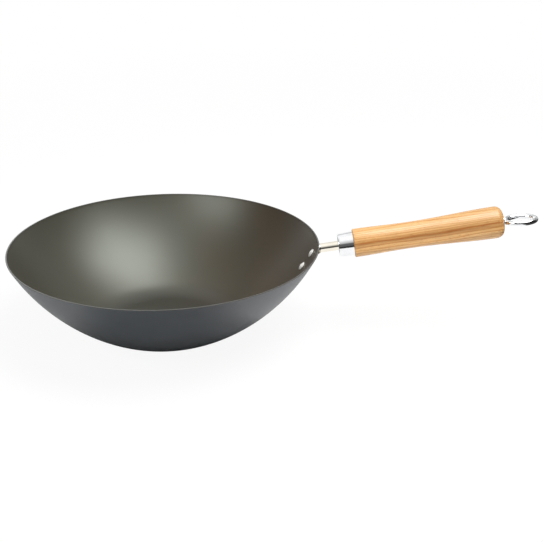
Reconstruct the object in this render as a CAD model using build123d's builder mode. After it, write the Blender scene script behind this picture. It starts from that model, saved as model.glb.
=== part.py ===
from build123d import *
from math import atan2, cos, degrees, hypot, radians, sin, sqrt
import os

# A carbon steel wok with one long handle. It stands on the XY plane, the centre of its flat base is the
# origin, and the handle points along +X. Lengths are in millimetres, angles in degrees.

# Bowl, pressed from one sheet, with a flat base and a wall that bulges outwards as one arc
rim_diameter = 330.0
bowl_height = 92.4
base_diameter = 139.4
wall_bulge = 11.0
sheet_thickness = 1.4
base_corner_radius = 16.0
rim_edge_radius = 0.4

# Handle line: it crosses the rim's radius this far below the rim and climbs outwards
handle_depth = 6.45
handle_rise = 8.5

# Tang: a round bar, flattened and bent at its inner end into a pad that lies on the outside of the wall
bar_diameter = 10.0
bar_end_past_ferrule_face = 1.8
bar_end_chamfer = 0.6
bend_radius = 6.5
pad_width = 20.0
pad_thickness = 3.4
pad_edge_radius = 0.9
pad_seat_gap = 0.1
neck_shares = (0.5, 1)

# Rivets, one above the other down the wall, with a low head inside and an upset tail outside
rivet_count = 2
rivet_depth = 15.0
rivet_pitch = 18.0
rivet_shank_diameter = 5.0
rivet_hole_clearance = 0.05
rivet_head_diameter = 9.4
rivet_head_height = 1.9
rivet_head_rim = 0.5
rivet_tail_diameter = 8.6
rivet_tail_height = 2.4
rivet_tail_rim = 0.6
rivet_seat_gap = 0.1
rivet_spot_clearance = 0.4

# Ferrule: a pressed cap with a round hole in its face for the bar, and a slight flare
ferrule_start = 20.3
ferrule_length = 16.7
ferrule_front_diameter = 24.8
ferrule_rear_diameter = 26.8
ferrule_wall = 1.0
ferrule_edge_radius = 0.9
ferrule_hole_clearance = 0.1

# Seat washer between the end of the bar and the wooden spigot
seat_washer_diameter = 19.0
seat_washer_thickness = 1.6

# Tie rod: a long stud from the tang through the grip to the hanging loop
tie_rod_diameter = 6.0
tie_rod_engagement = 12.0
tie_rod_end_chamfer = 0.8
thread_clearance = 0.05
thread_bottom_gap = 2.0
washer_bore_clearance = 0.2

# Grip: a turned wooden handle with a waist, a fuller tail and a rounded end
grip_length = 159.8
grip_front_diameter = 30.5
grip_front_edge_radius = 1.0
grip_waist_diameter = 28.2
grip_palm_diameter = 31.5
grip_tail_diameter = 34.0
grip_end_round_radius = 8.0
grip_waist_share = 0.345
grip_palm_share = 0.70
grip_bore_clearance = 0.3
spigot_clearance = 0.1

# Washer sunk in the end of the grip, under the flange of the loop
end_washer_diameter = 14.0
end_washer_thickness = 1.2
recess_clearance = 0.2

# Hanging loop: an oval ring of round wire with a flange and a threaded sleeve that screws onto the tie rod
loop_length = 37.6
loop_width = 27.0
loop_wire_diameter = 5.5
loop_lean = 4.0
loop_flange_diameter = 12.6
loop_flange_thickness = 1.5
loop_flange_edge_radius = 0.4
loop_collar_diameter = 9.0
loop_collar_length = 2.3
loop_collar_dome_height = 1.3
sleeve_diameter = 9.0
sleeve_length = 18.0
sleeve_thread_depth = 14.0
sleeve_end_gap = 1.5

# Room by which a cutter passes the faces that it cuts through
overrun = 5.0

# Section of the wall: its two faces are arcs about one centre, which lies inside, above the base
rim_radius = rim_diameter / 2
base_radius = base_diameter / 2
wall_run = rim_radius - base_radius
wall_chord = hypot(wall_run, bowl_height)
wall_radius = wall_chord**2 / (8 * wall_bulge) + wall_bulge / 2
wall_centre_lift = wall_radius - wall_bulge
wall_centre_x = (rim_radius + base_radius) / 2 - wall_centre_lift * bowl_height / wall_chord
wall_centre_z = bowl_height / 2 + wall_centre_lift * wall_run / wall_chord
wall_centre = Vector(wall_centre_x, 0, wall_centre_z)
wall_axis = Axis(wall_centre, (0, 1, 0))
rim_dip = degrees(atan2(wall_centre_z - bowl_height, rim_radius - wall_centre_x))


def wall_reach(radius, height):
    """Distance from the bowl's axis of the arc of this radius about the wall's centre, at this height."""
    return wall_centre_x + sqrt(radius**2 - (wall_centre_z - height) ** 2)


def dip_at(depth):
    """Angle below the horizontal, seen from the wall's centre, at this arc length below the rim."""
    return rim_dip + degrees(depth / wall_radius)


def wall_direction(dip):
    """Outward direction from the wall's centre at this angle below the horizontal."""
    return Vector(cos(radians(dip)), 0, -sin(radians(dip)))


def wall_plane(depth, lift):
    """Plane that faces out of the wall, this far down from the rim and lifted off the outer face."""
    outward = wall_direction(dip_at(depth))
    return Plane(origin=wall_centre + outward * (wall_radius + lift), x_dir=(0, 1, 0), z_dir=outward)


rivet_depths = [rivet_depth + number * rivet_pitch for number in range(rivet_count)]

# Handle line and the planes along it and across it
handle_direction = Vector(cos(radians(handle_rise)), 0, sin(radians(handle_rise)))
handle_down = Vector(sin(radians(handle_rise)), 0, -cos(radians(handle_rise)))
handle_origin = Vector(rim_radius, 0, bowl_height - handle_depth)
handle_axis = Axis(handle_origin, handle_direction)
handle_section = Plane(origin=handle_origin, x_dir=handle_direction, z_dir=(0, -1, 0))


def across_handle(station):
    """Plane square to the handle line, at this distance beyond the rim's radius."""
    return Plane(origin=handle_origin + handle_direction * station, x_dir=(0, 1, 0), z_dir=handle_direction)


# Stations along the handle line, from the bowl outwards
bar_end = ferrule_start + ferrule_wall + bar_end_past_ferrule_face
spigot_start = bar_end + seat_washer_thickness
grip_start = ferrule_start + ferrule_length
grip_end = grip_start + grip_length
flange_seat = grip_end - loop_flange_thickness
washer_seat = flange_seat - end_washer_thickness
sleeve_end = flange_seat - sleeve_length
tie_rod_start = bar_end - tie_rod_engagement
tie_rod_end = sleeve_end + sleeve_thread_depth - thread_bottom_gap

# Bowl
inner_wall_radius = wall_radius - sheet_thickness
with BuildPart() as bowl:
    with BuildSketch(Plane.XZ) as bowl_section:
        with BuildLine():
            base_line = Line((0, 0), (base_radius, 0))
            outer_arc = SagittaArc(base_line @ 1, (rim_radius, bowl_height), -wall_bulge)
            rim_line = Line(outer_arc @ 1, (wall_reach(inner_wall_radius, bowl_height), bowl_height))
            inner_base_end = (wall_reach(inner_wall_radius, sheet_thickness), sheet_thickness)
            inner_arc = RadiusArc(rim_line @ 1, inner_base_end, inner_wall_radius)
            inner_base_line = Line(inner_arc @ 1, (0, sheet_thickness))
            Line(inner_base_line @ 1, base_line @ 0)
        make_face()
        outer_corner = bowl_section.vertices().sort_by_distance((base_radius, 0))[0]
        fillet(outer_corner, radius=base_corner_radius)
        inner_corner = bowl_section.vertices().sort_by_distance(inner_base_end)[0]
        fillet(inner_corner, radius=base_corner_radius - sheet_thickness)
        rim_corners = bowl_section.vertices().group_by(Axis.Y)[-1]
        fillet(rim_corners, radius=rim_edge_radius)
    revolve(axis=Axis.Z)
    for depth in rivet_depths:
        with BuildSketch(wall_plane(depth, overrun)):
            Circle(rivet_shank_diameter / 2 + rivet_hole_clearance)
        extrude(amount=-2 * overrun, mode=Mode.SUBTRACT)

# Space that the bowl fills, grown by the seat gap, which the tang keeps out of
seat_radius = wall_radius + pad_seat_gap
with BuildPart() as bowl_space:
    with BuildSketch(Plane.XZ):
        with BuildLine():
            space_foot = Line((0, 0), (wall_reach(seat_radius, 0), 0))
            space_top = (wall_reach(seat_radius, bowl_height), bowl_height)
            space_arc = RadiusArc(space_foot @ 1, space_top, -seat_radius)
            space_lid = Line(space_arc @ 1, (0, bowl_height))
            Line(space_lid @ 1, space_foot @ 0)
        make_face()
    revolve(axis=Axis.Z)

# Middle line of the tang: straight along the handle, a bend, then an arc down the wall. The bend's centre
# lies its own radius below the handle line and its own radius outside the arc of the pad.
pad_middle_radius = seat_radius + pad_thickness / 2
bend_reference = handle_origin + handle_down * bend_radius - wall_centre
bend_reach = sqrt((pad_middle_radius + bend_radius) ** 2 - bend_reference.dot(handle_down) ** 2)
bend_start = bend_reach - bend_reference.dot(handle_direction)
bend_centre = handle_origin + handle_down * bend_radius + handle_direction * bend_start
bend_dip = degrees(atan2(wall_centre.Z - bend_centre.Z, bend_centre.X - wall_centre.X))
bend_turn = 90 - handle_rise - bend_dip
pad_end_dip = dip_at(rivet_depths[-1] + pad_width / 2 + overrun)
pad_face_lift = pad_seat_gap + pad_thickness


def bend_plane(turn):
    """Plane across the tang where its bend has turned by this angle from the handle line."""
    angle = radians(90 + handle_rise + turn)
    origin = bend_centre + Vector(cos(angle), 0, sin(angle)) * bend_radius
    return Plane(origin=origin, x_dir=(0, 1, 0), z_dir=(sin(angle), 0, -cos(angle)))


def between(start, end, share):
    """Size at this share of the way from start to end."""
    return start + (end - start) * share


# Tang: the pad with its round end, the neck from pad to bar, then the bar with its threaded hole
with BuildPart() as tang:
    with BuildSketch(bend_plane(bend_turn)):
        Rectangle(pad_width, pad_thickness)
    revolve(axis=wall_axis, revolution_arc=pad_end_dip - bend_dip)
    with BuildSketch(wall_plane(rivet_depths[-1], overrun)):
        with Locations((0, -pad_width / 2)):
            Rectangle(2 * pad_width, pad_width)
        Circle(pad_width / 2, mode=Mode.SUBTRACT)
    extrude(amount=-2 * overrun, mode=Mode.SUBTRACT)
    pad_outer_face = tang.faces().sort_by_distance(wall_centre)[-1]
    pad_outer_edges = pad_outer_face.edges().sort_by(Axis.Z)[:-1]
    fillet(pad_outer_edges, radius=pad_edge_radius)
    with BuildSketch(bend_plane(0)):
        Circle(bar_diameter / 2)
    for share in neck_shares:
        width = between(bar_diameter, pad_width, share)
        thickness = between(bar_diameter, pad_thickness, share)
        corner = between(bar_diameter / 2, pad_edge_radius, share)
        with BuildSketch(bend_plane(bend_turn * share)):
            RectangleRounded(width, thickness, corner)
    loft()
    with BuildSketch(bend_plane(0)):
        Circle(bar_diameter / 2)
    extrude(amount=bar_end - bend_start)
    bar_end_edge = tang.faces().sort_by(handle_axis)[-1].edges()
    chamfer(bar_end_edge, length=bar_end_chamfer)
    with BuildSketch(across_handle(bar_end)):
        Circle(tie_rod_diameter / 2 + thread_clearance)
    extrude(amount=-(tie_rod_engagement + thread_bottom_gap), mode=Mode.SUBTRACT)
    add(bowl_space.part, mode=Mode.SUBTRACT)
    for depth in rivet_depths:
        with BuildSketch(wall_plane(depth, -overrun)):
            Circle(rivet_shank_diameter / 2 + rivet_hole_clearance)
        extrude(amount=pad_face_lift + 2 * overrun, mode=Mode.SUBTRACT)
        with BuildSketch(wall_plane(depth, pad_face_lift)):
            Circle(rivet_tail_diameter / 2 + rivet_spot_clearance)
        extrude(amount=bar_diameter, mode=Mode.SUBTRACT)

# Rivets: each is a section through its own middle line, turned about that line
head_seat = -sheet_thickness - rivet_seat_gap
head_edge = head_seat - rivet_head_rim
head_top = head_seat - rivet_head_height
tail_seat = pad_face_lift + rivet_seat_gap
tail_edge = tail_seat + rivet_tail_rim
tail_top = tail_seat + rivet_tail_height
with BuildPart() as rivets:
    for depth in rivet_depths:
        seat_plane = wall_plane(depth, 0)
        with BuildSketch(Plane(origin=seat_plane.origin, x_dir=seat_plane.x_dir, z_dir=-seat_plane.y_dir)):
            with BuildLine():
                head_dome = TangentArc((0, head_top), (rivet_head_diameter / 2, head_edge), tangent=(1, 0))
                tail_dome = TangentArc((0, tail_top), (rivet_tail_diameter / 2, tail_edge), tangent=(1, 0))
                head_corner = (rivet_head_diameter / 2, head_seat)
                tail_corner = (rivet_tail_diameter / 2, tail_seat)
                shank_at_head = (rivet_shank_diameter / 2, head_seat)
                shank_at_tail = (rivet_shank_diameter / 2, tail_seat)
                Polyline(head_dome @ 1, head_corner, shank_at_head, shank_at_tail, tail_corner, tail_dome @ 1)
                Line(tail_dome @ 0, head_dome @ 0)
            make_face()
        revolve(axis=Axis(seat_plane.origin, seat_plane.z_dir))

# Ferrule
ferrule_hole_radius = bar_diameter / 2 + ferrule_hole_clearance
ferrule_face_inside = ferrule_start + ferrule_wall
ferrule_bore_front = ferrule_front_diameter / 2 - ferrule_wall
ferrule_bore_rear = ferrule_rear_diameter / 2 - ferrule_wall
with BuildPart() as ferrule:
    with BuildSketch(handle_section) as ferrule_profile:
        with BuildLine():
            Polyline(
                (ferrule_start, ferrule_hole_radius),
                (ferrule_start, ferrule_front_diameter / 2),
                (grip_start, ferrule_rear_diameter / 2),
                (grip_start, ferrule_bore_rear),
                (ferrule_face_inside, ferrule_bore_front),
                (ferrule_face_inside, ferrule_hole_radius),
                close=True,
            )
        make_face()
        front_edge = (ferrule_start, ferrule_front_diameter / 2)
        fillet(ferrule_profile.vertices().sort_by_distance(front_edge)[0], radius=ferrule_edge_radius)
    revolve(axis=handle_axis)

# Seat washer
with BuildPart() as seat_washer:
    with BuildSketch(across_handle(bar_end)):
        Circle(seat_washer_diameter / 2)
        Circle(tie_rod_diameter / 2 + washer_bore_clearance, mode=Mode.SUBTRACT)
    extrude(amount=seat_washer_thickness)

# Tie rod
with BuildPart() as tie_rod:
    with BuildSketch(across_handle(tie_rod_start)):
        Circle(tie_rod_diameter / 2)
    extrude(amount=tie_rod_end - tie_rod_start)
    rod_end_edges = tie_rod.edges().filter_by(GeomType.CIRCLE)
    chamfer(rod_end_edges, length=tie_rod_end_chamfer)

# Grip: a spigot that fills the ferrule, a shoulder, then the turned outline up to the rounded end
spigot_taper = (ferrule_bore_rear - ferrule_bore_front) / (grip_start - ferrule_face_inside)
spigot_rear_radius = ferrule_bore_rear - spigot_clearance
spigot_front_radius = spigot_rear_radius - spigot_taper * (grip_start - spigot_start)
grip_bore_radius = tie_rod_diameter / 2 + grip_bore_clearance
sleeve_bore_radius = sleeve_diameter / 2 + recess_clearance
recess_radius = end_washer_diameter / 2 + recess_clearance
waist_station = grip_start + grip_length * grip_waist_share
palm_station = grip_start + grip_length * grip_palm_share
tail_station = grip_end - grip_end_round_radius
end_face_radius = grip_tail_diameter / 2 - grip_end_round_radius
with BuildPart() as grip:
    with BuildSketch(handle_section) as grip_profile:
        with BuildLine():
            spigot_line = Polyline(
                (spigot_start, grip_bore_radius),
                (spigot_start, spigot_front_radius),
                (grip_start, spigot_rear_radius),
                (grip_start, grip_front_diameter / 2),
            )
            grip_curve = Spline(
                spigot_line @ 1,
                (waist_station, grip_waist_diameter / 2),
                (palm_station, grip_palm_diameter / 2),
                (tail_station, grip_tail_diameter / 2),
                tangents=((1, 0), (1, 0)),
            )
            end_arc = TangentArc(grip_curve @ 1, (grip_end, end_face_radius), tangent=(1, 0))
            Polyline(
                end_arc @ 1,
                (grip_end, recess_radius),
                (washer_seat, recess_radius),
                (washer_seat, sleeve_bore_radius),
                (sleeve_end - sleeve_end_gap, sleeve_bore_radius),
                (sleeve_end - sleeve_end_gap, grip_bore_radius),
                spigot_line @ 0,
            )
        make_face()
        shoulder_edge = (grip_start, grip_front_diameter / 2)
        fillet(grip_profile.vertices().sort_by_distance(shoulder_edge)[0], radius=grip_front_edge_radius)
    revolve(axis=handle_axis)

# Washer in the end of the grip
with BuildPart() as end_washer:
    with BuildSketch(across_handle(washer_seat)):
        Circle(end_washer_diameter / 2)
        Circle(sleeve_diameter / 2 + washer_bore_clearance, mode=Mode.SUBTRACT)
    extrude(amount=end_washer_thickness)

# Hanging loop: threaded sleeve, flange and domed collar turned about the handle line, and the leaning ring
ring_angle = radians(handle_rise - loop_lean)
ring_plane = Plane(
    origin=across_handle(grip_end).origin,
    x_dir=(cos(ring_angle), 0, sin(ring_angle)),
    z_dir=(-sin(ring_angle), 0, cos(ring_angle)),
)
collar_end = grip_end + loop_collar_length
with BuildPart() as hanging_loop:
    with BuildLine(ring_plane):
        half_ring = EllipticalCenterArc(
            (loop_length / 2, 0),
            (loop_length - loop_wire_diameter) / 2,
            (loop_width - loop_wire_diameter) / 2,
            start_angle=180,
            arc_size=180,
        )
    with BuildSketch(Plane(origin=half_ring @ 0, z_dir=half_ring % 0)):
        Circle(loop_wire_diameter / 2)
    sweep()
    mirror(about=Plane.XZ)
    with BuildSketch(handle_section) as stem_profile:
        with BuildLine():
            stem_line = Polyline(
                (collar_end, loop_collar_diameter / 2),
                (grip_end, loop_collar_diameter / 2),
                (grip_end, loop_flange_diameter / 2),
                (flange_seat, loop_flange_diameter / 2),
                (flange_seat, sleeve_diameter / 2),
                (sleeve_end, sleeve_diameter / 2),
                (sleeve_end, 0),
                (collar_end + loop_collar_dome_height, 0),
            )
            EllipticalCenterArc((collar_end, 0), loop_collar_dome_height, loop_collar_diameter / 2)
        make_face()
        flange_edge = (grip_end, loop_flange_diameter / 2)
        fillet(stem_profile.vertices().sort_by_distance(flange_edge)[0], radius=loop_flange_edge_radius)
    revolve(axis=handle_axis)
    with BuildSketch(across_handle(sleeve_end)):
        Circle(tie_rod_diameter / 2 + thread_clearance)
    extrude(amount=sleeve_thread_depth, mode=Mode.SUBTRACT)

pieces = {
    "bowl": bowl,
    "tang": tang,
    "rivets": rivets,
    "ferrule": ferrule,
    "seat_washer": seat_washer,
    "tie_rod": tie_rod,
    "grip": grip,
    "end_washer": end_washer,
    "hanging_loop": hanging_loop,
}
os.makedirs("parts", exist_ok=True)
for name, piece in pieces.items():
    piece.part.label = name
    export_step(piece.part, f"parts/{name}.step")
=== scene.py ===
"""Looks of a carbon steel wok with a turned wooden grip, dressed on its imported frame.

The wok stands on the XY plane, the middle of its base is the origin and the grip points along +X.
Shapes are built in millimetres and brought to metres when a piece is finished.
"""

import logging
import math
from collections.abc import Callable, Sequence
from dataclasses import dataclass
from enum import Enum
from functools import partial
from typing import Any

import bmesh
import bpy
from bmesh.types import BMEdge, BMesh, BMVert
from bpy.types import Material, Node, NodeSocket, NodeTree, World
from mathutils import Matrix, Vector
from mathutils.geometry import interpolate_bezier


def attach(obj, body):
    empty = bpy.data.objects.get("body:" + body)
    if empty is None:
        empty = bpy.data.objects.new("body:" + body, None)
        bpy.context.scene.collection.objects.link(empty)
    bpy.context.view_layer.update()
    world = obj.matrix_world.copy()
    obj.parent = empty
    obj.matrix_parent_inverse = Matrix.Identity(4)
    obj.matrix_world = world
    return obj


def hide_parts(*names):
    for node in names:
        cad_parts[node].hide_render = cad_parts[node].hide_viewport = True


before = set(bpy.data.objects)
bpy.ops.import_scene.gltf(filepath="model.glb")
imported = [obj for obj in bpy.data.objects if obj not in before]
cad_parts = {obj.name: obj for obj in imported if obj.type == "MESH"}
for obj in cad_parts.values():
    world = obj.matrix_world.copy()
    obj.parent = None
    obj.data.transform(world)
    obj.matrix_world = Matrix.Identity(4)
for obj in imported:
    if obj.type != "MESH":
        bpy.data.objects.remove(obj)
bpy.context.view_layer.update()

logging.basicConfig(level=logging.INFO, format="%(message)s")
log = logging.getLogger("wok")

MM = 0.001
BODY = "root"
WELD = 1e-4

Pair = tuple[float, float]
Triple = tuple[float, float, float]
Colour = tuple[float, float, float, float]
Stops = Sequence[tuple[float, float | Colour]]
AddNode = Callable[..., Node]
WHITE: Colour = (1.0, 1.0, 1.0, 1.0)

# Colour inputs of a Mix node, by number, because its other inputs have the same names
UNDER, OVER = 6, 7
MULTIPLIED = {"data_type": "RGBA", "blend_type": "MULTIPLY"}


class Slot(Enum):
    """Material slots of the part's record."""

    COATED_STEEL = "coated_carbon_steel"
    CHROME = "chrome_plate"
    BRIGHT_STEEL = "bright_steel"
    WOOD = "lacquered_wood"


# Material tools


def linear(hex_code: str) -> Colour:
    """Turn an sRGB colour into the linear colour that a shader takes.

    Args:
        hex_code: Six hexadecimal digits, red first.

    Returns:
        Red, green, blue and an alpha of one.
    """
    channels = [int(hex_code[start : start + 2], 16) / 255 for start in (0, 2, 4)]
    red, green, blue = (c / 12.92 if c <= 0.04045 else ((c + 0.055) / 1.055) ** 2.4 for c in channels)
    return red, green, blue, 1.0


def span(run: Pair, unit: float = 1.0) -> dict[str, float]:
    """Inputs of a MapRange node for a run from one value to another, given in a unit."""
    return {"From Min": run[0] * unit, "From Max": run[1] * unit}


def add_node(
    tree: NodeTree,
    kind: str,
    inputs: dict[str | int, Any] | None = None,
    stops: Stops = (),
    **settings: Any,
) -> Node:
    """Add a shader node with its settings, and fill or link its inputs.

    Args:
        tree: Node tree that takes the node.
        kind: The node's type without its first word, such as "TexNoise".
        inputs: For an input's name or number, a plain value, or the socket or node that feeds it. A node
            feeds it from the first of its outputs that is in use.
        stops: For a colour ramp, pairs of a place from 0 to 1 and a linear colour or a grey level.
        settings: Properties of the node itself.

    Returns:
        The new node.
    """
    node = tree.nodes.new("ShaderNode" + kind)
    for name, value in settings.items():
        setattr(node, name, value)
    for key, value in (inputs or {}).items():
        if isinstance(value, Node):
            value = next(output for output in value.outputs if output.enabled)
        if isinstance(value, NodeSocket):
            tree.links.new(value, node.inputs[key])
        else:
            node.inputs[key].default_value = value
    while stops and len(node.color_ramp.elements) < len(stops):
        node.color_ramp.elements.new(1.0)
    for number, (place, colour) in enumerate(stops):
        node.color_ramp.elements[number].position = place
        node.color_ramp.elements[number].color = (*[colour] * 3, 1.0) if isinstance(colour, float) else colour
    return node


def empty_tree(owner: Material | World) -> AddNode:
    """Clear the nodes of a material or a world.

    Args:
        owner: The material or world.

    Returns:
        The function that adds a node to it, which is add_node without its first argument.
    """
    owner.use_nodes = True
    owner.node_tree.nodes.clear()
    return partial(add_node, owner.node_tree)


def new_material(name: str) -> tuple[Material, AddNode, NodeSocket]:
    """New material that holds only the object's coordinates.

    Args:
        name: The material's name.

    Returns:
        The material, the function that adds a node to it and the socket with the coordinates.
    """
    material = bpy.data.materials.new(name)
    add = empty_tree(material)
    return material, add, add("TexCoord").outputs["Object"]


@dataclass(frozen=True)
class SatinCoatedSteel:
    """Carbon steel sheet with a sprayed and baked silicone coat.

    The coat is dark and satin: a broad soft highlight, a faint orange peel of the spray, and a slight drift
    between two tints, in broad patches where the coat is thicker or thinner and across the sheet along X. On
    the flat base the colour is darkened as painted shade, which fades out between two given heights. A
    pattern is given by its size and its levels of finer noise. Lengths are in millimetres.
    """

    name: str
    tint: str
    other_tint: str
    sheen: str = "FFFFFF"
    base_shade_tone: float = 1.0
    base_shade_end: Pair = (1.8, 11.0)
    roughness: float = 0.41
    roughness_drift: float = 0.03
    ior: float = 1.7
    side_run: float = 260.0
    drift: Pair = (55.0, 3.0)
    tint_spread: Pair = (0.45, 0.95)
    peel: Pair = (0.9, 2.0)
    peel_depth: float = 0.02
    peel_strength: float = 0.25
    flecks: Pair = (0.35, 2.0)
    fleck_spread: Pair = (0.3, 0.7)
    fleck_contrast: float = 0.14

    def build(self) -> Material:
        """Build the material."""
        material, add, place = new_material(self.name)
        axes = add("SeparateXYZ", {"Vector": place}).outputs
        drift, flecks, peel = (
            add("TexNoise", {"Vector": place, "Scale": 1 / (size * MM), "Detail": detail})
            for size, detail in (self.drift, self.flecks, self.peel)
        )
        slope = 1 / (self.side_run * MM)
        lean = add("Math", {0: axes["X"], 1: slope, 2: drift}, operation="MULTIPLY_ADD")
        tints = zip(self.tint_spread, (linear(self.tint), linear(self.other_tint)))
        colour = add("ValToRGB", {"Fac": lean}, tuple(tints))
        tones = zip(self.fleck_spread, (1 - self.fleck_contrast, 1 + self.fleck_contrast))
        fleck_tone = add("ValToRGB", {"Fac": flecks}, tuple(tones))
        # Painted shade: the colour is darkened on the flat base and fades back to full above it.
        base_shade_end = {**span(self.base_shade_end, MM), "To Min": self.base_shade_tone}
        base_shade_tone = add("MapRange", {"Value": axes["Z"], **base_shade_end})
        for tone in (fleck_tone, base_shade_tone):
            colour = add("Mix", {"Factor": 1.0, UNDER: colour, OVER: tone}, **MULTIPLIED)
        relief = {"Strength": self.peel_strength, "Distance": self.peel_depth * MM}
        bump = add("Bump", {"Height": peel, **relief})
        smooth, dull = self.roughness - self.roughness_drift, self.roughness + self.roughness_drift
        gloss = add("MapRange", {"Value": drift, "To Min": smooth, "To Max": dull})
        coat = {"IOR": self.ior, "Specular Tint": linear(self.sheen)}
        shader = add("BsdfPrincipled", {"Base Color": colour, "Roughness": gloss, "Normal": bump, **coat})
        add("OutputMaterial", {"Surface": shader})
        return material


@dataclass(frozen=True)
class PolishedMetal:
    """Bare or plated metal with a bright surface.

    Its gloss and its tone wander a little with handling, under fine scratches. A plated piece is almost a
    mirror, a cut or cast one is softer. A pattern is given by its size and its levels of finer noise.
    Lengths are in millimetres.
    """

    name: str
    tint: str
    roughness: float
    metallic: float = 1.0
    gloss_spread: Pair = (0.7, 1.4)
    smudges: Pair = (9.0, 4.0)
    smudge_spread: Pair = (0.35, 0.6)
    smudge_tone: float = 0.93
    scratches: Pair = (0.4, 3.0)
    scratch_depth: float = 0.01
    scratch_strength: float = 0.06

    def build(self) -> Material:
        """Build the material."""
        material, add, place = new_material(self.name)
        smudges, scratches = (
            add("TexNoise", {"Vector": place, "Scale": 1 / (size * MM), "Detail": detail})
            for size, detail in (self.smudges, self.scratches)
        )
        clean = linear(self.tint)
        smudged = (*[self.smudge_tone * channel for channel in clean[:3]], 1.0)
        colour = add("ValToRGB", {"Fac": smudges}, tuple(zip(self.smudge_spread, (smudged, clean))))
        smooth, dull = (self.roughness * share for share in self.gloss_spread)
        gloss = add("MapRange", {"Value": smudges, "To Min": smooth, "To Max": dull})
        relief = {"Strength": self.scratch_strength, "Distance": self.scratch_depth * MM}
        bump = add("Bump", {"Height": scratches, **relief})
        metal = {"Base Color": colour, "Metallic": self.metallic}
        shader = add("BsdfPrincipled", {"Roughness": gloss, "Normal": bump, **metal})
        add("OutputMaterial", {"Surface": shader})
        return material


@dataclass(frozen=True)
class GrainMarks:
    """Size of a pattern's marks along and across the grain, in millimetres, and its levels of finer noise."""

    length: float
    width: float
    detail: float

    def noise(self, add: AddNode, place: Node) -> Node:
        """Noise drawn out along the grain.

        Args:
            add: Function that adds a node to the material.
            place: Node with coordinates whose first axis lies along the grain.

        Returns:
            The noise.
        """
        across = 1 / (self.width * MM)
        scale = (1 / (self.length * MM), across, across)
        drawn = add("Mapping", {"Vector": place, "Scale": scale})
        return add("TexNoise", {"Vector": drawn, "Scale": 1.0, "Detail": self.detail})


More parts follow.
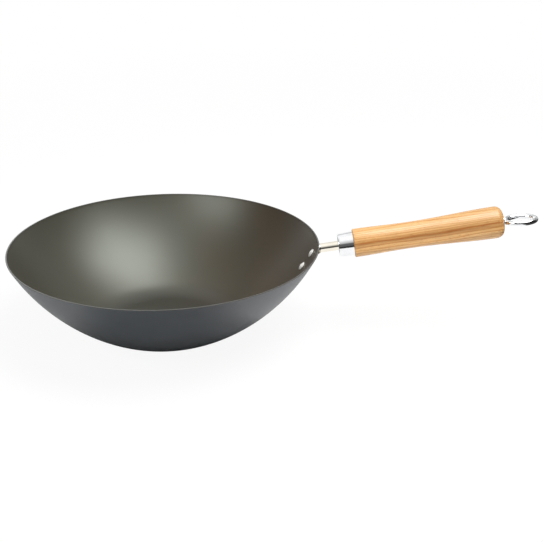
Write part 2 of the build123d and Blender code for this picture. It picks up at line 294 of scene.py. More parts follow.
@dataclass(frozen=True)
class LacqueredWood:
    """Light hardwood, turned, sanded and lacquered.

    The blank was cut beside the heart of the tree, so the growth rings cross it as long lines that open into
    tongues where the turning cuts through them. Short dark pores run with the grain under a clear coat.
    Lengths are in millimetres, and the layers' stops count across layer_reach.
    """

    name: str
    origin: Vector
    rise: float
    early_wood: str = "DCB173"
    late_wood: str = "C2833C"
    streak: str = "A55A14"
    pore: str = "A0662A"
    pale_tone: Colour = (1.26, 1.22, 1.12, 1.0)
    ring_width: float = 2.6
    late_start: float = 0.55
    late_peak: float = 0.88
    heart_offset: Pair = (33.0, 84.0)
    heart_along: float = 0.03
    waves: GrainMarks = GrainMarks(150.0, 11.0, 2.0)
    wave_rings: float = 3.2
    layer_rings: float = 3.0
    layer_reach: Pair = (-8.0, 12.0)
    dark_layer: Stops = (
        (0.0, 0.12), (0.1, 0.23), (0.2, 0.18), (0.27, 0.22), (0.33, 0.38), (0.41, 0.7), (0.49, 0.46),
        (0.56, 0.2), (0.62, 0.12), (0.7, 0.04), (0.82, 0.2), (1.0, 0.12),
    )
    pale_layer: tuple[float, ...] = (0.46, 0.58, 0.68, 0.8)
    breaks: GrainMarks = GrainMarks(26.0, 1.2, 2.0)
    break_tones: Stops = ((0.3, 0.6), (0.7, 1.35))
    fibres: GrainMarks = GrainMarks(18.0, 0.7, 3.0)
    fibre_tones: Stops = ((0.3, (0.9, 0.87, 0.82, 1.0)), (0.7, (1.06, 1.05, 1.04, 1.0)))
    fibre_depth: float = 0.03
    fibre_strength: float = 0.12
    pores: GrainMarks = GrainMarks(5.0, 0.35, 1.0)
    pore_mask: Stops = ((0.28, 0.85), (0.36, 0.0))
    tail_shade_run: Pair = (60.0, 200.0)
    tail_shade_tone: float = 0.86
    roughness: float = 0.45
    ior: float = 1.5
    coat: float = 0.3
    coat_roughness: float = 0.16

    def build(self) -> Material:
        """Build the material."""
        material, add, place = new_material(self.name)
        turn = Matrix.Rotation(math.radians(self.rise), 3, "Y")
        lie = {"Location": -(turn @ (self.origin * MM)), "Rotation": (0, math.radians(self.rise), 0)}
        along_grain = add("Mapping", {"Vector": place, **lie})
        wave = self._distance_from_heart(add, along_grain)
        rings = add("Math", {0: wave, 1: self.ring_width * MM}, operation="DIVIDE")
        phase = add("Math", {0: rings}, operation="FRACT")
        early, late = linear(self.early_wood), linear(self.late_wood)
        figure = [(0.0, early), (self.late_start, early), (self.late_peak, late), (1.0, early)]
        colour = add("ValToRGB", {"Fac": phase}, figure)
        colour = self._layered(add, along_grain, wave, colour)
        fibre = self.fibres.noise(add, along_grain)
        fibre_tone = add("ValToRGB", {"Fac": fibre}, self.fibre_tones)
        colour = add("Mix", {"Factor": 1.0, UNDER: colour, OVER: fibre_tone}, **MULTIPLIED)
        pores = add("ValToRGB", {"Fac": self.pores.noise(add, along_grain)}, self.pore_mask)
        pore = linear(self.pore)
        colour = add("Mix", {"Factor": pores, UNDER: colour, OVER: pore}, data_type="RGBA")
        # Painted shade: the colour darkens a little along the grip's tail, so that its end looks darker than
        # its front
        along = add("SeparateXYZ", {"Vector": along_grain}).outputs["X"]
        tones = {"To Min": 1.0, "To Max": self.tail_shade_tone}
        tail = add("MapRange", {"Value": along, **span(self.tail_shade_run, MM), **tones})
        colour = add("Mix", {"Factor": 1.0, UNDER: colour, OVER: tail}, **MULTIPLIED)
        relief = {"Strength": self.fibre_strength, "Distance": self.fibre_depth * MM}
        bump = add("Bump", {"Height": fibre, **relief})
        wood = {"Base Color": colour, "Normal": bump, "Roughness": self.roughness, "IOR": self.ior}
        lacquer = {"Coat Weight": self.coat, "Coat Roughness": self.coat_roughness}
        shader = add("BsdfPrincipled", {**wood, **lacquer})
        add("OutputMaterial", {"Surface": shader})
        return material

    def _distance_from_heart(self, add: AddNode, along_grain: Node) -> Node:
        """Distance from the heart of the tree, with the slow waves of the grain.

        Args:
            add: Function that adds a node to the material.
            along_grain: Coordinates with their first axis along the grain.

        Returns:
            The distance, in metres.
        """
        aside, above = self.heart_offset
        heart = {"Location": (0, -aside * MM, -above * MM), "Scale": (self.heart_along, 1, 1)}
        away = add("Mapping", {"Vector": along_grain, **heart})
        distance = add("VectorMath", {0: away}, operation="LENGTH")
        swing = self.wave_rings * self.ring_width * MM
        waves = self.waves.noise(add, along_grain)
        return add("Math", {0: waves, 1: swing, 2: distance}, operation="MULTIPLY_ADD")

    def _layered(self, add: AddNode, along_grain: Node, wave: Node, colour: Node) -> Node:
        """Lay a darker layer, and a paler one beside it, over the rings where the grip faces the front.

        Args:
            add: Function that adds a node to the material.
            along_grain: Coordinates with their first axis along the grain.
            wave: Distance from the heart.
            colour: Colour of the rings.

        Returns:
            The colour with both layers.
        """
        middle = (math.hypot(*self.heart_offset) + self.layer_rings * self.ring_width) * MM
        layer = add("Math", {0: wave, 1: middle}, operation="SUBTRACT")
        depth = add("MapRange", {"Value": layer, **span(self.layer_reach, MM)})
        darkness = add("ValToRGB", {"Fac": depth}, self.dark_layer)
        breaks = self.breaks.noise(add, along_grain)
        broken = add("ValToRGB", {"Fac": breaks}, self.break_tones)
        mask = add("Math", {0: darkness, 1: broken}, operation="MULTIPLY")
        tones = zip(self.pale_layer, (WHITE, self.pale_tone, self.pale_tone, WHITE))
        lightness = add("ValToRGB", {"Fac": depth}, tuple(tones))
        colour = add("Mix", {"Factor": 1.0, UNDER: colour, OVER: lightness}, **MULTIPLIED)
        streak = linear(self.streak)
        return add("Mix", {"Factor": mask, UNDER: colour, OVER: streak}, data_type="RGBA")


# Mesh tools


def ray(angle: float) -> Vector:
    """Direction at an angle above +X, in degrees, in the plane of the handle."""
    return Vector((math.cos(math.radians(angle)), 0.0, math.sin(math.radians(angle))))


def spin_round(mesh: BMesh, steps: int) -> None:
    """Turn all that a mesh holds once round the Z axis, and close the seam.

    Args:
        mesh: Mesh with an outline or a ring.
        steps: Number of sides.
    """
    bmesh.ops.spin(
        mesh,
        geom=[*mesh.verts, *mesh.edges],
        cent=(0.0, 0.0, 0.0),
        axis=(0.0, 0.0, 1.0),
        angle=math.tau,
        steps=steps,
        use_merge=True,
        use_duplicate=False,
    )
    bmesh.ops.remove_doubles(mesh, verts=mesh.verts, dist=WELD)


class TurnedBody:
    """Body made from an outline that is turned about the local Z axis.

    The outline is drawn from point to point, each given by its distance out from the axis and its place
    along it, in millimetres.
    """

    def __init__(self, out: float, along: float) -> None:
        """Start the outline.

        Args:
            out: Distance from the axis.
            along: Place along the axis.
        """
        self.mesh = bmesh.new()
        self.first = self.mesh.verts.new((out, 0.0, along))
        self.tip = self.first

    def _extend(self, place: Vector) -> None:
        """Draw an edge from the tip to a place."""
        self.tip = bmesh.ops.extrude_vert_indiv(self.mesh, verts=[self.tip])["verts"][0]
        self.tip.co = place

    def line_to(self, out: float, along: float, pieces: int = 1) -> None:
        """Draw a straight stretch.

        Args:
            out: Distance of its end from the axis.
            along: Place of its end along the axis.
            pieces: Number of edges.
        """
        start, goal = self.tip.co.copy(), Vector((out, 0.0, along))
        for piece in range(pieces):
            self._extend(start.lerp(goal, (piece + 1) / pieces))

    def arc_about(self, out: float, along: float, turn: float, pieces: int) -> None:
        """Draw an arc about a centre.

        Args:
            out: Distance of the centre from the axis.
            along: Place of the centre along the axis.
            turn: Angle in degrees, positive from the axis' direction towards outwards.
            pieces: Number of edges.
        """
        grown = bmesh.ops.spin(
            self.mesh,
            geom=[self.tip],
            cent=(out, 0.0, along),
            axis=(0.0, 1.0, 0.0),
            angle=math.radians(turn),
            steps=pieces,
            use_duplicate=False,
        )
        self.tip = next(item for item in grown["geom_last"] if isinstance(item, BMVert))

    def curve_to(self, out: float, along: float, slopes: Pair, pieces: int) -> None:
        """Draw a smooth stretch whose slope is given at both ends.

        Args:
            out: Distance of its end from the axis.
            along: Place of its end along the axis.
            slopes: Gain in distance per length along the axis, at its start and at its end.
            pieces: Number of edges.
        """
        start, goal = self.tip.co.copy(), Vector((out, 0.0, along))
        third = (goal.z - start.z) / 3
        handles = (Vector((slopes[0] * third, 0, third)), Vector((slopes[1] * third, 0, third)))
        for place in interpolate_bezier(start, start + handles[0], goal - handles[1], goal, pieces + 1)[1:]:
            self._extend(place)

    def close(self) -> None:
        """Join the tip to the start, for a body with a hole through it."""
        self.mesh.edges.new((self.tip, self.first))

    def turned(self, steps: int, placement: Matrix | None = None) -> BMesh:
        """Turn the outline all the way round.

        Args:
            steps: Number of sides.
            placement: Where the body goes, or None to leave it on the Z axis.

        Returns:
            The body's mesh, in millimetres.
        """
        spin_round(self.mesh, steps)
        bmesh.ops.recalc_face_normals(self.mesh, faces=self.mesh.faces)
        if placement is not None:
            bmesh.ops.transform(self.mesh, matrix=placement, verts=self.mesh.verts)
        return self.mesh


def finish_piece(
    name: str,
    meshes: Sequence[BMesh],
    finishes: Sequence[Material],
    replaced: str,
    sharp_angle: float = 40.0,
) -> None:
    """Turn meshes in millimetres into one piece that rides on the wok and stands for a node.

    Args:
        name: The piece's name.
        meshes: Its meshes, which are used up.
        finishes: Its materials, in the order of the faces' material numbers.
        replaced: Node that it stands for.
        sharp_angle: Angle in degrees from which an edge stays sharp.
    """
    data = bpy.data.meshes.new(name)
    whole = bmesh.new()
    for mesh in meshes:
        mesh.to_mesh(data)
        mesh.free()
        whole.from_mesh(data)
    bmesh.ops.scale(whole, vec=(MM, MM, MM), verts=whole.verts)
    whole.to_mesh(data)
    whole.free()
    for finish in finishes:
        data.materials.append(finish)
    data.shade_smooth()
    data.set_sharp_from_angle(angle=math.radians(sharp_angle))
    piece = bpy.data.objects.new(name, data)
    bpy.context.scene.collection.objects.link(piece)
    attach(piece, BODY)
    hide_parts(replaced)
    log.info("%s: %d faces", name, len(data.polygons))


def dress_node(node: str, finish: Material) -> None:
    """Give a node of the frame a detailed material.

    Args:
        node: The node's name.
        finish: Its material.
    """
    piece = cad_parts[node]
    for slot in piece.material_slots:
        slot.material = finish
    log.info("%s: dressed as %s", node, finish.name)


# Sub-assemblies


@dataclass
class HandleLine:
    """Middle line of the handle, on which stations count outwards from the rim's radius."""

    rim_radius: float = 165.0
    bowl_height: float = 92.4
    depth: float = 6.45
    rise: float = 8.5

    @property
    def origin(self) -> Vector:
        """Point of the line at station zero."""
        return Vector((self.rim_radius, 0.0, self.bowl_height - self.depth))

    @property
    def direction(self) -> Vector:
        """Direction of the line, away from the bowl."""
        return ray(self.rise)

    def placement(self) -> Matrix:
        """Placement that brings a body turned about Z onto the line."""
        return Matrix.Translation(self.origin) @ Matrix.Rotation(math.radians(90 - self.rise), 4, "Y")


@dataclass
class PressedBowl:
    """The bowl: one pressed sheet with a flat base, a bulging wall and a rim that was cut level.

    The inner corner is softer than the outer one, so that the base runs into the wall without an edge.
    """

    line: HandleLine
    base_radius: float = 69.7
    wall_bulge: float = 11.0
    sheet: float = 1.4
    corner_radius: float = 16.0
    inner_corner_radius: float = 58.0
    rim_edge: float = 0.35
    rim_round: float = 0.1
    inner_flat: float = 0.3
    edge_drop: float = 0.08
    sides: int = 320
    base_pieces: int = 6
    corner_pieces: int = 14
    wall_pieces: int = 40

    def __post_init__(self) -> None:
        """Work out the wall's arc from the rim, the base and the bulge."""
        rim, height = self.line.rim_radius, self.line.bowl_height
        run = rim - self.base_radius
        chord = math.hypot(run, height)
        self.wall_radius = chord**2 / (8 * self.wall_bulge) + self.wall_bulge / 2
        lift = self.wall_radius - self.wall_bulge
        self.centre_out = (rim + self.base_radius) / 2 - lift * height / chord
        self.centre_up = height / 2 + lift * run / chord

    def corner(self, radius: float, wall_radius: float, floor: float) -> Pair:
        """Arc that leads from a level floor into a wall.

        Args:
            radius: Radius of the arc.
            wall_radius: Radius of the wall that it meets, about the wall's centre.
            floor: Height of the floor that it meets.

        Returns:
            Distance of the arc's centre from the axis, and the angle below the horizontal, in degrees, at
            which the arc meets the wall.
        """
        drop = self.centre_up - floor - radius
        aside = math.sqrt((wall_radius - radius) ** 2 - drop**2)
        return self.centre_out + aside, math.degrees(math.atan2(drop, aside))

    def dip_at_height(self, radius: float, height: float) -> float:
        """Angle in degrees below the horizontal of a point at a radius from the wall's centre."""
        return math.degrees(math.asin((self.centre_up - height) / radius))

    def mesh(self) -> BMesh:
        """Turn the sheet's outline, with its rim's edges broken."""
        top = self.line.bowl_height
        outside, inside = self.wall_radius, self.wall_radius - self.sheet
        rim_outside = self.dip_at_height(outside, top - self.rim_edge)
        rim_inside = self.dip_at_height(inside, top - self.rim_edge)
        outer_top = self.centre_out + outside * ray(rim_outside).x
        inner_top = self.centre_out + inside * ray(rim_inside).x
        corner_out, corner_dip = self.corner(self.corner_radius, outside, 0.0)
        inner_corner_out, inner_corner_dip = self.corner(self.inner_corner_radius, inside, self.sheet)
        body = TurnedBody(0.0, 0.0)
        body.line_to(corner_out, 0.0, self.base_pieces)
        body.arc_about(corner_out, self.corner_radius, corner_dip - 90, self.corner_pieces)
        body.arc_about(self.centre_out, self.centre_up, rim_outside - corner_dip, self.wall_pieces)
        body.line_to(outer_top - self.rim_round, top - self.edge_drop)
        body.line_to(outer_top - self.rim_edge, top)
        body.line_to(inner_top + self.inner_flat, top)
        body.line_to(inner_top + self.edge_drop, top - self.rim_round)
        body.line_to(inner_top, top - self.rim_edge)
        body.arc_about(self.centre_out, self.centre_up, inner_corner_dip - rim_inside, self.wall_pieces)
        inner_corner_up = self.sheet + self.inner_corner_radius
        body.arc_about(inner_corner_out, inner_corner_up, 90 - inner_corner_dip, self.corner_pieces)
        body.line_to(0.0, self.sheet, self.base_pieces)
        return body.turned(self.sides)

    def build(self, inside: Material, outside: Material, edge: Material) -> None:
        """Make the bowl and dress its three surfaces.

        Args:
            inside: Finish of the cooking surface.
            outside: Finish of the outer face.
            edge: Finish of the rim's cut edge.
        """
        mesh = self.mesh()
        for face in mesh.faces:
            if face.calc_center_median().z > self.line.bowl_height - self.rim_edge / 2:
                face.material_index = 2
            elif face.normal.z < 0:
                face.material_index = 1
        finish_piece("pressed_bowl", [mesh], [inside, outside, edge], "bowl")


@dataclass
class RivetPair:
    """Two rivets one above the other, with a low dome inside the bowl and an upset tail outside."""

    bowl: PressedBowl
    first_depth: float = 15.0
    pitch: float = 18.0
    count: int = 2
    pad_thickness: float = 3.4
    seat_gap: float = 0.1
    shank_radius: float = 2.5
    head_radius: float = 4.7
    head_height: float = 1.9
    head_rim: float = 0.5
    tail_radius: float = 4.3
    tail_height: float = 2.4
    tail_rim: float = 0.6
    edge: float = 0.12
    sides: int = 48
    dome_pieces: int = 12

    def placement(self, number: int) -> Matrix:
        """Placement of one rivet, with Z out of the wall and its zero on the wall's outer face.

        Args:
            number: Which rivet, from zero at the top.

        Returns:
            The rivet's matrix.
        """
        bowl = self.bowl
        depth = self.first_depth + number * self.pitch
        rim_dip = bowl.dip_at_height(bowl.wall_radius, bowl.line.bowl_height)
        dip = rim_dip + math.degrees(depth / bowl.wall_radius)
        place = Vector((bowl.centre_out, 0.0, bowl.centre_up)) + ray(-dip) * bowl.wall_radius
        return Matrix.Translation(place) @ Matrix.Rotation(math.radians(90 + dip), 4, "Y")

    def mesh(self, number: int) -> BMesh:
        """Turn one rivet from the top of its head to the top of its tail.

        Args:
            number: Which rivet.

        Returns:
            The rivet's mesh.
        """
        head_seat = -self.bowl.sheet - self.seat_gap
        tail_seat = self.pad_thickness + 2 * self.seat_gap
        body = TurnedBody(0.0, head_seat - self.head_height)
        self._dome(body, self.head_radius, self.head_height - self.head_rim, -1)
        body.line_to(self.head_radius, head_seat - self.edge)
        body.line_to(self.head_radius - self.edge, head_seat)
        body.line_to(self.shank_radius, head_seat)
        body.line_to(self.shank_radius, tail_seat)
        body.line_to(self.tail_radius - self.edge, tail_seat)
        body.line_to(self.tail_radius, tail_seat + self.edge)
        body.line_to(self.tail_radius, tail_seat + self.tail_rim)
        self._dome(body, self.tail_radius, self.tail_height - self.tail_rim, 1)
        return body.turned(self.sides, self.placement(number))

    def _dome(self, body: TurnedBody, radius: float, height: float, side: int) -> None:
        """Draw a dome's arc, from its top outwards on the head and back to its top on the tail.

        Args:
            body: Outline that is being drawn.
            radius: Radius of the dome's foot.
            height: Rise of the dome over its foot.
            side: -1 for the head, which faces inwards, or 1 for the tail.
        """
        sphere = (radius**2 + height**2) / (2 * height)
        angle = math.degrees(math.asin(radius / sphere))
        centre = body.tip.co.z + (sphere if side < 0 else height - sphere)
        body.arc_about(0.0, centre, -angle, self.dome_pieces)

    def build(self, finish: Material) -> None:
        """Make both rivets of a metal, as one piece."""
        meshes = [self.mesh(number) for number in range(self.count)]
        finish_piece("domed_rivets", meshes, [finish], "rivets")


@dataclass
class Tang:
    """The bar that carries the grip, flattened at its inner end into a pad under the wall.

    The powers are those of its sections' outlines. The pad's round end keeps end_share of the thickness at
    its tip and gains end_swell towards the full width.
    """

    rivets: RivetPair
    bar_radius: float = 5.0
    bar_end: float = 23.1
    bar_edge: float = 0.6
    bar_rings: Pair = (12.0, 6.0)
    bend_lead: float = 1.5
    bend_radius: float = 6.5
    pad_width: float = 20.0
    round_power: float = 2.0
    flat_power: float = 8.0
    end_turn: float = 88.5
    end_share: float = 0.62
    end_swell: float = 0.608
    sides: int = 64
    neck_pieces: int = 16
    pad_pieces: int = 24
    end_pieces: int = 14

    def __post_init__(self) -> None:
        """Work out the bend between the handle line and the arc down the wall."""
        bowl, line = self.rivets.bowl, self.rivets.bowl.line
        self.centre = Vector((bowl.centre_out, 0.0, bowl.centre_up))
        self.thickness = self.rivets.pad_thickness
        self.pad_radius = bowl.wall_radius + self.rivets.seat_gap + self.thickness / 2
        down = ray(line.rise - 90)
        reference = line.origin + down * self.bend_radius - self.centre
        reach = math.sqrt((self.pad_radius + self.bend_radius) ** 2 - reference.dot(down) ** 2)
        self.bend_start = reach - reference.dot(line.direction)
        self.bend_centre = line.origin + down * self.bend_radius + line.direction * self.bend_start
        away = self.bend_centre - self.centre
        self.bend_dip = math.degrees(math.atan2(-away.z, away.x))
        self.bend_turn = 90 - line.rise - self.bend_dip
        rim_dip = bowl.dip_at_height(bowl.wall_radius, line.bowl_height)
        last_depth = self.rivets.first_depth + (self.rivets.count - 1) * self.rivets.pitch
        self.last_dip = rim_dip + math.degrees(last_depth / bowl.wall_radius)

    def point(self, section: Vector, angle: float) -> Vector:
        """Point of the bar's section, which goes from round to a flat with rounded edges.

        Args:
            section: Its width, its thickness and the power of its outline: 2 for round, more for squarer.
            angle: Angle round the section, in radians.

        Returns:
            The point, with x in the thickness and y in the width.
        """
        width, thickness, power = section
        shares = (math.cos(angle), math.sin(angle))
        out, aside = (math.copysign(abs(share) ** (2 / power), share) for share in shares)
        return Vector((thickness / 2 * out, width / 2 * aside, 0.0))

    def stations(self) -> list[tuple[Matrix, Vector]]:
        """List the sections from the bar's end to the pad's end.

        Returns:
            For each section its placement, and its width, thickness and power.
        """
        line = self.rivets.bowl.line
        bar = Vector((2 * self.bar_radius, 2 * self.bar_radius, self.round_power))
        flat = Vector((self.pad_width, self.thickness, self.flat_power))
        stations = []
        lead = self.bend_start + self.bend_lead
        for along in (self.bar_end, self.bar_end - self.bar_edge, *self.bar_rings, lead, self.bend_start):
            edge = 2 * self.bar_edge if along == self.bar_end else 0.0
            place = line.origin + line.direction * along
            stations.append((self._plane(place, 90 + line.rise), bar - Vector((edge, edge, 0.0))))
        for piece in range(1, self.neck_pieces + 1):
            share = piece / self.neck_pieces
            angle = 90 + line.rise + self.bend_turn * share
            place = self.bend_centre + ray(angle) * self.bend_radius
            stations.append((self._plane(place, angle), bar.lerp(flat, share * share * (3 - 2 * share))))
        for piece in range(1, self.pad_pieces + 1):
            dip = self.bend_dip + (self.last_dip - self.bend_dip) * piece / self.pad_pieces
            stations.append((self._pad_plane(dip), flat))
        for piece in range(1, self.end_pieces + 1):
            angle = math.radians(self.end_turn) * piece / self.end_pieces
            dip = self.last_dip + math.degrees(self.pad_width / 2 * math.sin(angle) / self.pad_radius)
            share = min(1.0, self.end_share + self.end_swell * math.sqrt(math.cos(angle)))
            section = (self.pad_width * math.cos(angle), self.thickness * share, self.flat_power)
            stations.append((self._pad_plane(dip), Vector(section)))
        return stations

    def _plane(self, place: Vector, angle: float) -> Matrix:
        """Placement of a section whose thickness lies along the direction at an angle, in degrees."""
        thickness_axis, width_axis = ray(angle), Vector((0.0, 1.0, 0.0))
        axes = Matrix((thickness_axis, width_axis, thickness_axis.cross(width_axis)))
        return Matrix.Translation(place) @ axes.transposed().to_4x4()

    def _pad_plane(self, dip: float) -> Matrix:
        """Placement of a section of the pad at an angle below the horizontal from the wall's centre."""
        return self._plane(self.centre + ray(-dip) * self.pad_radius, 180 - dip)

    def build(self, finish: Material) -> None:
        """Draw the tang out of the round of the bar's end, section by section.

        Args:
            finish: Metal of the tang.
        """
        mesh = bmesh.new()
        start = bmesh.ops.create_circle(mesh, cap_ends=True, segments=self.sides, radius=1.0)
        ring = list(start["verts"])
        ring_edges = list({edge for vert in ring for edge in vert.link_edges})
        angles = [math.atan2(vert.co.y, vert.co.x) for vert in ring]
        for number, (placement, section) in enumerate(self.stations()):
            if number:
                grown = bmesh.ops.extrude_edge_only(mesh, edges=ring_edges)
                new_edges = [item for item in grown["geom"] if isinstance(item, BMEdge)]
                new_verts = {item for item in grown["geom"] if isinstance(item, BMVert)}
                links = [[edge.other_vert(old) for edge in old.link_edges] for old in ring]
                ring = [next(vert for vert in others if vert in new_verts) for others in links]
                ring_edges = [edge for edge in new_edges if new_verts.issuperset(edge.verts)]
            for vert, angle in zip(ring, angles):
                vert.co = placement @ self.point(section, angle)
        bmesh.ops.contextual_create(mesh, geom=ring)
        bmesh.ops.recalc_face_normals(mesh, faces=mesh.faces)
        finish_piece("flattened_bar", [mesh], [finish], "tang")


@dataclass
class Ferrule:
    """Pressed cap over the front end of the grip, with a hole in its face for the bar."""

    line: HandleLine
    start: float = 20.3
    length: float = 16.7
    front_radius: float = 12.4
    rear_radius: float = 13.4
    wall: float = 1.0
    edge_radius: float = 0.9
    hole_radius: float = 5.1
    lip: float = 0.3
    sides: int = 128
    face_pieces: int = 4
    edge_pieces: int = 8
    side_pieces: int = 6
    sharp_angle: float = 30.0

    def build(self, finish: Material) -> None:
        """Make the cap.

        Args:
            finish: Its plating.
        """
        end = self.start + self.length
        flare = math.degrees(math.atan2(self.rear_radius - self.front_radius, self.length))
        face_radius = self.front_radius - self.edge_radius
        body = TurnedBody(self.hole_radius, self.start + self.lip)
        body.line_to(self.hole_radius + self.lip, self.start)
        body.line_to(face_radius, self.start, self.face_pieces)
        body.arc_about(face_radius, self.start + self.edge_radius, flare - 90, self.edge_pieces)
        body.line_to(self.rear_radius, end - self.lip, self.side_pieces)
        body.line_to(self.rear_radius - self.lip, end)
        body.line_to(self.rear_radius - self.wall, end)
        body.line_to(self.front_radius - self.wall, self.start + self.wall)
        body.line_to(self.hole_radius, self.start + self.wall)
        body.close()
        mesh = body.turned(self.sides, self.line.placement())
        finish_piece("ferrule_cap", [mesh], [finish], "ferrule", self.sharp_angle)


@dataclass
class TurnedGrip:
    """The wooden grip: a spigot in the ferrule, a waist, a fuller tail and a rounded end with a recess.

    The waist and the palm are placed by shares of its length, and the outline has their slopes there.
    """

    line: HandleLine
    spigot_start: float = 24.7
    start: float = 37.0
    length: float = 159.8
    spigot_front_radius: float = 11.5
    spigot_rear_radius: float = 12.3
    bore_radius: float = 3.3
    front_radius: float = 15.25
    front_edge: float = 1.0
    waist_radius: float = 14.1
    waist_share: float = 0.345
    waist_slope: float = -0.0059
    palm_radius: float = 15.75
    palm_share: float = 0.70
    palm_slope: float = 0.0468
    tail_radius: float = 17.0
    end_round: float = 8.0
    recess_radius: float = 7.2
    recess_depth: float = 2.7
    recess_edge: float = 0.3
    sides: int = 160
    front_pieces: int = 2
    edge_pieces: int = 8
    waist_pieces: int = 30
    tail_pieces: int = 20
    end_pieces: int = 18

    def build(self, finish: Material) -> None:
        """Turn the grip.

        Args:
            finish: Its wood.
        """
        end = self.start + self.length
        waist, palm = (self.start + self.length * share for share in (self.waist_share, self.palm_share))
        face_radius = self.front_radius - self.front_edge
        body = TurnedBody(self.bore_radius, self.spigot_start)
        body.line_to(self.spigot_front_radius, self.spigot_start)
        body.line_to(self.spigot_rear_radius, self.start)
        body.line_to(face_radius, self.start, self.front_pieces)
        body.arc_about(face_radius, self.start + self.front_edge, -90, self.edge_pieces)
        body.curve_to(self.waist_radius, waist, (0.0, self.waist_slope), self.waist_pieces)
        body.curve_to(self.palm_radius, palm, (self.waist_slope, self.palm_slope), self.waist_pieces)
        body.curve_to(self.tail_radius, end - self.end_round, (self.palm_slope, 0.0), self.tail_pieces)
        body.arc_about(self.tail_radius - self.end_round, end - self.end_round, -90, self.end_pieces)
        body.line_to(self.recess_radius + self.recess_edge, end)
        body.line_to(self.recess_radius, end - self.recess_edge)
        body.line_to(self.recess_radius, end - self.recess_depth)
        body.line_to(self.bore_radius, end - self.recess_depth)
        body.close()
        mesh = body.turned(self.sides, self.line.placement())
        finish_piece("turned_grip", [mesh], [finish], "grip")


@dataclass
class HangingLoop:
    """Oval ring of round wire on a collar, with a flange and the sleeve that screws onto the tie rod.

    The collar ends in an edge, given across and along it, and a dome whose shoulder is given by shares of
    the collar's radius and the dome's height.
    """

    line: HandleLine
    grip_end: float = 196.8
    length: float = 37.6
    width: float = 27.0
    wire_radius: float = 2.75
    lean: float = 4.0
    flange_radius: float = 6.3
    flange_thickness: float = 1.5
    collar_radius: float = 4.5
    collar_length: float = 2.3
    collar_dome: float = 1.3
    sleeve_radius: float = 4.5
    sleeve_length: float = 18.0
    edge: float = 0.3
    collar_edge: Pair = (0.15, 0.4)
    dome_shoulder: Pair = (0.72, 0.68)
    sides: int = 144
    wire_sides: int = 32
    stem_sides: int = 64
    sharp_angle: float = 50.0

    def ring(self) -> BMesh:
        """Spin the wire into a round ring, then draw the ring out to its oval."""
        half_length, half_width = self.length / 2 - self.wire_radius, self.width / 2 - self.wire_radius
        mesh = bmesh.new()
        start = Matrix.Translation((half_length, 0.0, 0.0)) @ Matrix.Rotation(math.radians(90), 4, "X")
        bmesh.ops.create_circle(mesh, segments=self.wire_sides, radius=self.wire_radius, matrix=start)
        spin_round(mesh, self.sides)
        for vert in mesh.verts:
            angle = math.atan2(vert.co.y, vert.co.x)
            offset = math.hypot(vert.co.x, vert.co.y) - half_length
            square = Vector((half_width * math.cos(angle), half_length * math.sin(angle), 0.0)).normalized()
            middle = Vector((half_length * math.cos(angle), half_width * math.sin(angle), vert.co.z))
            vert.co = middle + square * offset
        bmesh.ops.recalc_face_normals(mesh, faces=mesh.faces)
        root = self.line.origin + self.line.direction * self.grip_end
        placement = (
            Matrix.Translation(root)
            @ Matrix.Rotation(math.radians(self.lean - self.line.rise), 4, "Y")
            @ Matrix.Translation((self.length / 2, 0.0, 0.0))
        )
        bmesh.ops.transform(mesh, matrix=placement, verts=mesh.verts)
        return mesh

    def stem(self) -> BMesh:
        """Turn the sleeve, the flange and the domed collar."""
        seat = self.grip_end - self.flange_thickness
        collar_end = self.grip_end + self.collar_length
        edge_in, edge_along = self.collar_edge
        shoulder_out, shoulder_up = self.dome_shoulder
        body = TurnedBody(0.0, seat - self.sleeve_length)
        body.line_to(self.sleeve_radius, seat - self.sleeve_length)
        body.line_to(self.sleeve_radius, seat)
        body.line_to(self.flange_radius, seat)
        body.line_to(self.flange_radius, self.grip_end - self.edge)
        body.line_to(self.flange_radius - self.edge, self.grip_end)
        body.line_to(self.collar_radius + self.edge, self.grip_end)
        body.line_to(self.collar_radius, self.grip_end + self.edge)
        body.line_to(self.collar_radius, collar_end - edge_along)
        body.line_to(self.collar_radius - edge_in, collar_end)
        body.line_to(self.collar_radius * shoulder_out, collar_end + self.collar_dome * shoulder_up)
        body.line_to(0.0, collar_end + self.collar_dome)
        return body.turned(self.stem_sides, self.line.placement())

    def build(self, finish: Material) -> None:
        """Make the loop as one piece with a plating."""
        meshes = [self.stem(), self.ring()]
        finish_piece("hanging_ring", meshes, [finish], "hanging_loop", self.sharp_angle)


# Studio


@dataclass(frozen=True)
class PanelLamp:
    """Soft panel lamp, placed by the direction and the distance from which it faces the wok, in metres."""

    name: str
    toward: Triple
    distance: float
    size: Pair
    watts: float
    roll: float = 0.0

    def hang(self, target: Vector) -> None:
        """Hang the lamp, rolled about its own axis by its degrees.

        Args:
            target: Point that it faces.
        """
        data = bpy.data.lights.new(self.name, "AREA")
        data.shape = "RECTANGLE"
        data.size, data.size_y = self.size
        data.energy = self.watts
        lamp = bpy.data.objects.new(self.name, data)
        toward = Vector(self.toward).normalized()
        lamp.location = target + toward * self.distance
        facing = (-toward).to_track_quat("-Z", "Y").to_matrix()
        lamp.rotation_euler = (facing @ Matrix.Rotation(math.radians(self.roll), 3, "Z")).to_euler()
        bpy.context.scene.collection.objects.link(lamp)


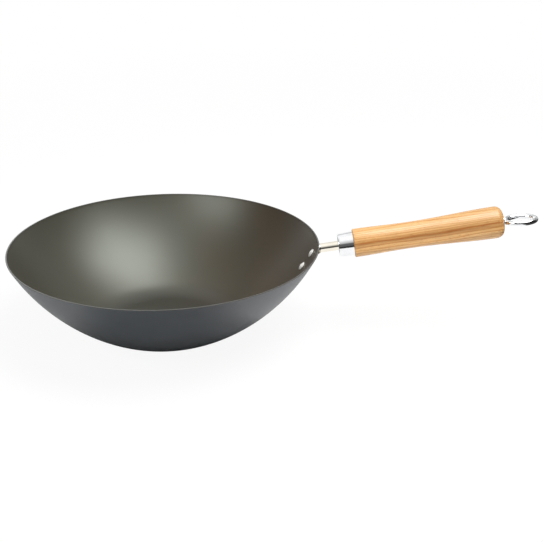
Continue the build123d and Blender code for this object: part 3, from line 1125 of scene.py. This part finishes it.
@dataclass
class Studio:
    """White paper under and behind the wok in a dim room, soft light, and the photograph's camera.

    Sides are stops from left to right, and tiers are stops from the horizon upwards. The panels are the pale
    patch in the bowl, the faint one beside it and the rivets' shine. Lengths are in metres, the camera's
    sensor and focal length in millimetres and its angles in degrees.
    """

    floor_half: float = 30.0
    floor_gap: float = 0.0001
    floor_glow: float = 0.92
    glow_rise: Pair = (0.6, 1.6)
    paper_tones: Stops = ((0.0, 0.03), (1.0, 0.9))
    paper_front: Pair = (-0.345, -0.305)
    paper_right: Pair = (0.42, 0.44)
    shade_width: Pair = (-0.25, 0.25)
    shade_sides: Stops = (
        (0.24, 0.58), (0.30, 0.28), (0.36, 0.13), (0.42, 0.12), (0.52, 0.12), (0.61, 0.11), (0.70, 0.26),
        (0.76, 1.0),
    )
    base_middle: Triple = (-0.003, 0.0, 0.0)
    base_shadow: Pair = (0.07, 0.13)
    room_tiers: Stops = ((0.0, 0.10), (0.40, 0.13), (0.5, 0.5), (0.7, 0.76), (0.82, 1.0), (0.9, 1.1))
    room_sides: Stops = ((0.305, 0.3), (0.385, 1.0), (0.575, 1.0), (0.7, 0.3), (0.8, 0.08))
    room_light: float = 0.6
    backdrop_edge: Pair = (-0.05, 0.3)
    backdrop_tiers: Stops = ((0.4, 1.0), (0.5, 0.6), (0.62, 0.6), (0.75, 1.0))
    backdrop_sides: Stops = (
        (0.225, 0.3), (0.33, 1.0), (0.575, 1.0), (0.68, 0.4), (0.78, 0.75), (0.83, 0.75), (0.92, 0.3),
    )
    target: Triple = (0.0, 0.0, 0.05)
    panels: tuple[PanelLamp, ...] = (
        PanelLamp("overhead panel", (0.40, -0.045, 0.92), 1.6, (1.12, 1.14), 32.0, 16.0),
        PanelLamp("front panel", (-0.52, -0.59, 0.61), 1.9, (1.2, 0.5), 14.5),
        PanelLamp("back panel", (-0.45, 0.85, 0.25), 1.8, (1.2, 0.9), 3.4),
    )
    sensor_width: float = 36.0
    focal_length: float = 66.298
    sight_limit: float = 100.0
    viewpoint: Triple = (0.09141, -0.99156, 0.48677)
    view_angles: Triple = (66.709, 0.0, -1.3)

    def paper(self) -> Material:
        """Make the floor's paper, whose edges and shade only shiny surfaces see.

        It ends in front and on the right of the wok, and a painted shade of the camera and its stand lies on
        it.
        The camera and the light that it scatters meet plain white paper.
        """
        material, add, place = new_material("matt white paper")
        axes = add("SeparateXYZ", {"Vector": place}).outputs
        rays = add("LightPath").outputs
        front_edge = add("MapRange", {"Value": axes["Y"], **span(self.paper_front)})
        falling = {**span(self.paper_right), "To Min": 1.0, "To Max": 0.0}
        right_edge = add("MapRange", {"Value": axes["X"], **falling})
        across = add("MapRange", {"Value": axes["X"], **span(self.shade_width)})
        lit = add("ValToRGB", {"Fac": across}, self.shade_sides)
        for edge in (front_edge, right_edge):
            lit = add("Math", {0: lit, 1: edge}, operation="MULTIPLY")
        white = lit
        for kind in ("Is Camera Ray", "Is Diffuse Ray"):
            white = add("Math", {0: white, 1: rays[kind]}, operation="MAXIMUM")
        tone = add("ValToRGB", {"Fac": white}, self.paper_tones)
        paper = add("BsdfDiffuse", {"Color": tone})

        # Shiny surfaces see the paper glow, but not round the wok's base, where it is held back as a painted
        # shadow, nor where the painted shade lies. The camera sees a glow that is full far away, so that the
        # floor ends in the backdrop without a line.
        reach = add("VectorMath", {0: place, 1: self.base_middle}, operation="DISTANCE")
        beside = add("MapRange", {"Value": reach, **span(self.base_shadow)})
        glossy, clear = rays["Is Glossy Ray"], rays["Is Transmission Ray"]
        shiny = add("Math", {0: glossy, 1: clear}, operation="MAXIMUM")
        for part in (beside, lit):
            shiny = add("Math", {0: shiny, 1: part}, operation="MULTIPLY")
        full = add("MapRange", {"Value": reach, **span(self.glow_rise), "To Min": self.floor_glow})
        seen = add("Math", {0: rays["Is Camera Ray"], 1: full}, operation="MULTIPLY")
        share = add("Math", {0: shiny, 1: seen}, operation="MAXIMUM")
        glow = add("Emission", {"Color": WHITE, "Strength": 1.0})
        surface = add("MixShader", {0: share, 1: paper, 2: glow})
        add("OutputMaterial", {"Surface": surface})
        return material

    def floor(self) -> None:
        """Lay a plain white floor that keeps the wok's shadow."""
        mesh = bmesh.new()
        bmesh.ops.create_grid(mesh, x_segments=1, y_segments=1, size=self.floor_half)
        data = bpy.data.meshes.new("floor")
        mesh.to_mesh(data)
        mesh.free()
        data.materials.append(self.paper())
        floor = bpy.data.objects.new("floor", data)
        floor.location.z = -self.floor_gap
        bpy.context.scene.collection.objects.link(floor)

    def world(self) -> None:
        """Set a white backdrop behind the wok, and a dim room on the camera's side, brighter overhead."""
        world = bpy.data.worlds.new("studio")
        bpy.context.scene.world = world
        add = empty_tree(world)
        direction = add("TexCoord").outputs["Generated"]
        axes = add("SeparateXYZ", {"Vector": direction}).outputs
        rays = add("LightPath").outputs
        aside = add("MapRange", {"Value": axes["X"], **span((-1.0, 1.0))})
        room_tone = add("ValToRGB", {"Fac": axes["Z"]}, self.room_tiers)
        room_fade = add("ValToRGB", {"Fac": aside}, self.room_sides)
        room = add("VectorMath", {0: room_tone, 1: room_fade}, operation="MULTIPLY")
        sheet = add("ValToRGB", {"Fac": axes["Z"]}, self.backdrop_tiers)
        width = add("ValToRGB", {"Fac": aside}, self.backdrop_sides)
        backdrop = add("MapRange", {"Value": axes["Y"], **span(self.backdrop_edge)})

        # Rays of the camera and of shiny or clear surfaces see the backdrop, and everything at full level.
        # Matt surfaces are lit by the room alone, at its lower level, beside the lamps.
        sight = rays["Is Camera Ray"]
        for kind in ("Is Glossy Ray", "Is Transmission Ray"):
            sight = add("Math", {0: sight, 1: rays[kind]}, operation="MAXIMUM")
        for part in (width, sight):
            backdrop = add("Math", {0: backdrop, 1: part}, operation="MULTIPLY")
        colour = add("Mix", {"Factor": backdrop, UNDER: room, OVER: sheet}, data_type="RGBA")
        camera_white = {"Factor": rays["Is Camera Ray"], UNDER: colour, OVER: WHITE}
        colour = add("Mix", camera_white, data_type="RGBA")
        level = add("MapRange", {"Value": sight, "To Min": self.room_light})
        background = add("Background", {"Color": colour, "Strength": level})
        add("OutputWorld", {"Surface": background})

    def camera(self) -> None:
        """Set the camera at the photograph's viewpoint."""
        data = bpy.data.cameras.new("photograph")
        data.sensor_fit = "HORIZONTAL"
        data.sensor_width = self.sensor_width
        data.lens = self.focal_length
        data.clip_end = self.sight_limit
        camera = bpy.data.objects.new("photograph", data)
        camera.location = self.viewpoint
        camera.rotation_euler = [math.radians(angle) for angle in self.view_angles]
        bpy.context.scene.collection.objects.link(camera)
        bpy.context.scene.camera = camera

    def build(self) -> None:
        """Set up the whole studio."""
        bpy.context.scene.view_settings.view_transform = "Standard"
        self.camera()
        self.floor()
        self.world()
        for panel in self.panels:
            panel.hang(Vector(self.target))


def main() -> None:
    """Build the studio and the wok, piece by piece."""
    Studio().build()
    line = HandleLine()
    bowl = PressedBowl(line)
    rivets = RivetPair(bowl)

    # The inside's flat base is darkened to half, as painted shade.
    inside = SatinCoatedSteel("baked silicone coat inside", "343127", "3A2F22", "F8FFF3", 0.5).build()
    outside = SatinCoatedSteel("baked silicone coat outside", "3C4145", "404448").build()
    edge = SatinCoatedSteel("baked silicone coat on the cut edge", "3D3F3C", "3C3B38").build()
    chrome = PolishedMetal("chrome plating", "F9FAFB", 0.07).build()
    # Painted reflection: the bar's plating is tinted warm to stand in for the warm reflection that it shows.
    warm_tinted_chrome = PolishedMetal("chrome plating tinted with a painted warm reflection", "FAF4E6", 0.05).build()
    bright = PolishedMetal("bright rivet steel", "F7F5F1", 0.5, 0.7).build()
    zinc = PolishedMetal("zinc plating", "B4B8BA", 0.32).build()
    wood = LacqueredWood("lacquered hardwood", line.origin, line.rise).build()

    bowl.build(inside, outside, edge)
    rivets.build(bright)
    Tang(rivets).build(warm_tinted_chrome)
    Ferrule(line).build(chrome)
    TurnedGrip(line).build(wood)
    HangingLoop(line).build(chrome)
    for node in ("seat_washer", "tie_rod", "end_washer"):
        dress_node(node, zinc)


if __name__ == "__main__":
    main()
